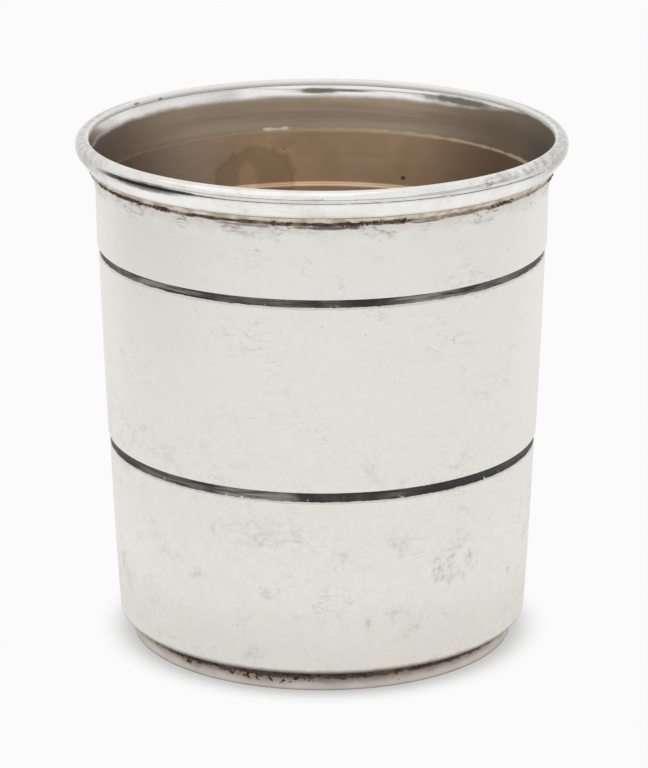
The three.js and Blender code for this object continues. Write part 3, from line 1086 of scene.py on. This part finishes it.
# %% Wall: turn it
WALL_FACETS = 288
wall = turned(
    "wall_sheet", outer_line + inner_line, wall_silver, WALL_FACETS,
    inside=[0.0] * len(outer_line) + [1.0] * len(inner_line),
    groove=groove_depth + [-FAR_AWAY] * len(inner_line),
    edge=ledge_distance + crest_distance,
)
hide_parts("cup_wall")
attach(wall, "root")

# %% [markdown]
# ## The floor plate
# A flat disc, dropped in from above, lies on the turned-in edge. It is barely seen from the side,
# but it shows from above, so its rim is rounded and its face carries stains. The profile starts and
# ends on the axis, where all facets meet in one point.

# %% Floor plate
FLOOR_RADIUS, FLOOR_THICKNESS, FLOOR_ROUND = 32.3, 0.8, 0.12
FLOOR_FACETS = 192
bottom = FOOT_HEIGHT + SHEET
top = bottom + FLOOR_THICKNESS
floor_points = spaced(rounded([
    (0, bottom, 0), (FLOOR_RADIUS, bottom, FLOOR_ROUND), (FLOOR_RADIUS, top, FLOOR_ROUND), (0, top, 0),
]), 2.5)
on_the_inside = [1.0] * len(floor_points)
plate = turned("floor_plate", floor_points, floor_silver, FLOOR_FACETS, inside=on_the_inside)
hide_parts("floor_disc")
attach(plate, "root")

# %% [markdown]
# ## The foot ring
# A strip of silver, bent into a ring and set back under the wall's turned-in edge. It leans out a
# little towards the resting face, whose edges are worn round.

# %% Foot ring
foot_points = closed_line([
    (29.6, 0, 0.25), (31.2, 0, 0.12), (30.6, FOOT_HEIGHT, 0.1), (BORE, FOOT_HEIGHT, 0.1),
], gap=0.5)
foot = turned("foot_band", foot_points, foot_silver, WALL_FACETS, nicks=(0.00003, 60.0))
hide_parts("foot_ring")
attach(foot, "root")

# %% [markdown]
# ## The rim moulding
# A bead with a fuller underside and a straight flank, rebated over the lip: its skirt hangs
# outside the wall and its shoulder rests on the lip's edge. The flank starts where a line from the
# skirt's edge touches the underside. Handling has left nicks in it.

# %% Rim moulding: profile
BEAD = (38.08, 82.2, 1.4)
BELLY = (37.53, 82.0, 1.95)
INNER_ROUND = (38.08, 82.85, 0.75)
SKIRT_EDGE = (37.71, 79.1)
SKIRT_BACK = (37.36, 79.1)
MOUTH = 37.33
SHOULDER = 82.7
FILM_START, FILM_WIDTH = 37.85, 0.25
away = math.dist(BELLY[:2], SKIRT_EDGE)
slope = math.atan2(SKIRT_EDGE[1] - BELLY[1], SKIRT_EDGE[0] - BELLY[0])
touch = math.degrees(slope + math.acos(BELLY[2] / away))
rim_points = closed_line([
    (*SKIRT_BACK, 0.06), (*SKIRT_EDGE, 0.1), *arc(*BELLY, touch, 0, 16), *arc(*BEAD, 0, 90, 28),
    *arc(*INNER_ROUND, 90, 172, 16)[1:], (MOUTH, SHOULDER, 0.02), (LIP[0] + 0.1, SHOULDER, 0.05),
], gap=0.35)
rim_edge = [math.dist(p, SKIRT_EDGE) for p in rim_points]
rim_film = [
    min(1.0, max(0.0, (FILM_START - r) / FILM_WIDTH)) if z >= SHOULDER else 0.0
    for r, z in rim_points
]
print("rim profile:", len(rim_points), "points; the flank touches at", round(touch, 1), "degrees")

# %% Rim moulding: turn it
RIM_FACETS = 480
rim = turned("rim_bead", rim_points, rim_silver, RIM_FACETS, nicks=(0.00006, 55.0),
             inside=rim_film, edge=rim_edge)
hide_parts("rim_moulding")
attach(rim, "root")

# %% [markdown]
# ## Solder
# Hard solder was run into each joint and never cleaned off well. A thin lumpy strip lies under the
# rim's skirt, another fills the crevice above the foot, a third lies round the floor inside, and a
# fine line shows between lip and moulding. They are turned like the rest, with lumps pushed out
# along the faces.

# %% Solder under the rim
SOLDER_FACETS = 720
rim_joint = closed_line([
    (36.88, 77.75, 0.03), (37.06, 77.72, 0.05), (37.3, 78.4, 0.25), (37.68, 79.14, 0.05),
    (37.26, 79.14, 0.03),
], gap=0.12)
rim_solder = turned(
    "rim_solder_strip", rim_joint, rim_solder_tan, SOLDER_FACETS, lumps=(0.00024, 700.0),
)
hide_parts("rim_solder")
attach(rim_solder, "root")

# %% Solder above the foot
foot_joint = closed_line([
    (30.7, 2.25, 0.03), (30.85, 2.2, 0.05), (31.0, 2.9, 0.2), (31.45, 3.38, 0.05),
    (30.55, 3.38, 0.03),
], gap=0.12)
foot_solder = turned(
    "foot_solder_seam", foot_joint, foot_solder_dark, SOLDER_FACETS, lumps=(0.00028, 700.0),
)
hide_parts("foot_solder")
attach(foot_solder, "root")

# %% Solder round the floor
floor_joint = closed_line([
    (31.7, 4.88, 0.05), (32.66, 4.88, 0.03), (32.7, 5.9, 0.03), (32.58, 5.9, 0.05),
    (32.3, 5.25, 0.3),
], gap=0.25)
floor_solder = turned(
    "floor_solder_seam", floor_joint, floor_solder_brown, SOLDER_FACETS // 2,
    lumps=(0.0002, 500.0),
)
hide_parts("floor_solder")
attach(floor_solder, "root")

# %% Solder line between lip and moulding
lip_joint = closed_line([
    (MOUTH, LIP[1], 0.01), (37.6, LIP[1], 0.01), (37.6, SHOULDER, 0.01), (MOUTH, SHOULDER, 0.01),
], gap=1.0)
lip_solder = turned(
    "lip_solder_line", lip_joint, lip_solder_pale, RIM_FACETS, lumps=(0.00001, 600.0),
)
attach(lip_solder, "root")

# %% [markdown]
# ## Crumbs of dirt
# Dry brown crumbs sit on the solder under the rim and hang from the crevice above the foot, thick
# in some places and missing in others. One tree scatters them on a cone between two rings: a random
# angle and height for each, then a slow noise removes whole stretches. Each crumb is a small ball
# of twenty faces, squashed and drawn out along the ring.

# %% Geometry tree: crumbs on a ring
scatter, given, result = new_group(
    "crumbs on a ring", GEOMETRY_TREE,
    {"Geometry": GEOMETRY, "Count": 900, "Upper radius": 0.03, "Upper height": 0.0,
     "Lower radius": 0.03, "Lower height": 0.0, "Size": 0.0002, "Bare share": 0.5, "Seed": 1,
     "Material": MATERIAL},
    {"Geometry": GEOMETRY},
)


def chance_of(low, high, seed):
    """A random number between two bounds, with its own seed."""
    return get(scatter, "FunctionNodeRandomValue", {2: low, 3: high, "Seed": seed}, 1, data_type="FLOAT")


def chances_of(low, high, seed):
    """Three random numbers at once, between the numbers of two vectors."""
    feeds = {0: low, 1: high, "Seed": seed}
    return get(scatter, "FunctionNodeRandomValue", feeds, data_type="FLOAT_VECTOR")


second_seed, third_seed = whole("ADD", given["Seed"], 7), whole("ADD", given["Seed"], 19)
angle = chance_of(0.0, math.tau, given["Seed"])
fall = chance_of(0.0, 1.0, second_seed)
ring = between(fall, given["Upper radius"], given["Lower radius"])
level = between(fall, given["Upper height"], given["Lower height"])
crumb_places = {"Count": given["Count"], "Position": on_ring(ring, angle, level)}
points = get(scatter, "GeometryNodePoints", crumb_places)
where = get(scatter, "GeometryNodeInputPosition")
bare = calc("LESS_THAN", noise(where, 140.0, 3.0), given["Bare share"])
points = get(scatter, "GeometryNodeDeleteGeometry", {"Geometry": points, "Selection": bare})
print("the crumb tree has", len(scatter.nodes), "nodes so far")

# %% Geometry tree: shape of each crumb
ball = get(scatter, "GeometryNodeMeshIcoSphere", {"Radius": 1.0, "Subdivisions": 1}, "Mesh")
x, y, z = split(where)
bearing = get(scatter, "ShaderNodeCombineXYZ", {"Z": calc("ARCTAN2", y, x) + math.pi / 2})
tilt = vector("ADD", chances_of((-0.4, -0.4, -0.5), (0.4, 0.4, 0.5), third_seed), bearing)
squash = chances_of((0.6, 0.35, 0.25), (2.6, 0.8, 0.8), second_seed)
shape = get(scatter, "GeometryNodeInstanceOnPoints", {
    "Points": points, "Instance": ball, "Rotation": tilt, "Scale": scaled(squash, given["Size"]),
})
shape = get(scatter, "GeometryNodeRealizeInstances", {0: shape})
shape = get(scatter, "GeometryNodeGroup", {"Geometry": shape}, node_tree=handwork)
finish_tree(shape, given["Material"], result["Geometry"])
print("tree made:", scatter.name)

# %% Crumbs under the rim and above the foot
def crumbs(name, count, upper, lower, size, bare_share, seed):
    """Crumbs between two rings, each given as (radius, height); all sizes are in millimetres."""
    return run_tree(name, bpy.data.meshes.new(name + "_start"), scatter, {
        "Count": count, "Upper radius": upper[0] * MM, "Upper height": upper[1] * MM,
        "Lower radius": lower[0] * MM, "Lower height": lower[1] * MM, "Size": size * MM,
        "Bare share": bare_share, "Seed": seed, "Material": dirt,
    })


rim_crumbs = crumbs("rim_dirt_crumbs", 2600, (37.42, 78.45), (37.06, 77.75), 0.15, 0.5, 3)
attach(rim_crumbs, "root")
foot_crumbs = crumbs("foot_dirt_crumbs", 2200, (31.5, 3.3), (30.95, 2.2), 0.2, 0.48, 5)
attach(foot_crumbs, "root")

# %% [markdown]
# ## Floor and light
# The photograph was taken on white paper under soft light, with a darker room beyond the paper's
# front edge. The eye sees only white, but the polished rim mirrors the room, and that is what makes
# it look like metal. So the floor and the world are plain white to the camera, while mirrored rays
# meet a darker belt round the horizon, a thin dark line where the paper ends, and a dark spot where
# the camera stands. The floor also stays a matt sheet by a share, which keeps the cup's shadow.

# %% Floor: a matt sheet that glows white
PAPER_HALF = 6.0
PAPER_GREY = (0.93, 0.93, 0.93, 1)
SEEN_WHITE = 0.965
PAPER_MIRRORED = 0.93
floor_mesh = bpy.data.meshes.new("studio_floor")
paper_corners = [(PAPER_HALF * x, PAPER_HALF * y, 0) for x, y in ((-1, -1), (1, -1), (1, 1), (-1, 1))]
floor_mesh.from_pydata(paper_corners, [], [(0, 1, 2, 3)])
studio_floor = bpy.data.objects.new("studio_floor", floor_mesh)
bpy.context.scene.collection.objects.link(studio_floor)
paper, surface, spot = start_material("white_paper", metallic=0.0)
surface.inputs["Roughness"].default_value = 1.0
surface.inputs["Specular IOR Level"].default_value = 0.0
surface.inputs["Base Color"].default_value = PAPER_GREY
x, y, z = split(spot)
away = vector("LENGTH", spot, output="Value")
frontward = y * -1 / away
leftward = x * -1 / away
print("paper made:", studio_floor.name, "with sides of", 2 * PAPER_HALF, "m")

# %% Floor: what a mirror meets
def shadeless(tree, glow):
    """Light of one strength, whatever falls on the sheet."""
    return get(tree, "ShaderNodeEmission", {"Color": glow, "Strength": 1.0})


past_line = away - step(leftward, 0.8, 0.97, 0.276, 0.75)
dark_line = step(away, 0.214, 0.226) * step(past_line, 0.0, 0.012, 1.0, 0.0)
room = step(away, 0.10, 0.21, 0.95, 0.80) * (1.0 - dark_line * 0.86)
mirrored_glow = between(step(frontward, -0.6, -0.3), PAPER_MIRRORED, room)
rays = get_all(spot.tree, "ShaderNodeLightPath")
glow = between(rays["Is Glossy Ray"], SEEN_WHITE, mirrored_glow)
seen = largest(rays["Is Camera Ray"], rays["Is Glossy Ray"])
share = seen * step(away, 0.0312, 0.038, 0.35, 0.98)
matt = Value(surface.outputs[0])
both = get(spot.tree, "ShaderNodeMixShader", {0: share, 1: matt, 2: shadeless(spot.tree, glow)})
put(both, spot.tree.nodes["Material Output"].inputs["Surface"])
floor_mesh.materials.append(paper)
print("material made:", paper.name)

# %% World: the room above the paper
TOWARDS_CAMERA = (-0.05, -0.970, 0.238)
TENT_LIGHT, TENT_BEHIND = 0.93, 0.90
world = bpy.data.worlds.new("light_tent")
bpy.context.scene.world = world
world.use_nodes = True
sky = world.node_tree.nodes["Background"]
direction = get(world.node_tree, "ShaderNodeTexCoord", output="Generated")
x, y, z = split(direction)
rising = step(z, 0.08, 0.32, 0.72, 0.90) + step(z, 0.42, 0.9, 0.0, -0.02)
horizon = step(z, 0.02, 0.045) * step(z, 0.11, 0.15, 1.0, 0.0)
camera_spot = step(vector("DISTANCE", direction, TOWARDS_CAMERA, "Value"), 0.06, 0.10, 1.0, 0.0)
right_side = step(x, 0.62, 0.7) * step(z, 0.27, 0.31) * step(z, 0.37, 0.41, 1.0, 0.0)
room = rising * (1.0 - largest(horizon * 0.62, camera_spot * 0.6, right_side * 0.6))
mirrored_glow = between(step(y, -0.1, 0.5, 1.0, 0.0), TENT_BEHIND, room)
rays = get_all(world.node_tree, "ShaderNodeLightPath")
glow = between(rays["Is Glossy Ray"], TENT_LIGHT, mirrored_glow)
put(between(rays["Is Camera Ray"], glow, SEEN_WHITE), sky.inputs["Color"])
sky.inputs["Strength"].default_value = 1.0
print("world made:", world.name)

# %% Lamp
lamp_data = bpy.data.lights.new("soft_lamp", "AREA")
lamp_data.shape = "SQUARE"
lamp_data.size = 1.6
lamp_data.energy = 1.5
lamp = bpy.data.objects.new("soft_lamp", lamp_data)
lamp.location = (-0.4, -0.3, 1.5)
lamp.rotation_euler = (math.radians(-11), math.radians(-15), 0)
bpy.context.scene.collection.objects.link(lamp)
bpy.context.scene.view_settings.view_transform = "Standard"
print("lamp power in watts:", lamp_data.energy)
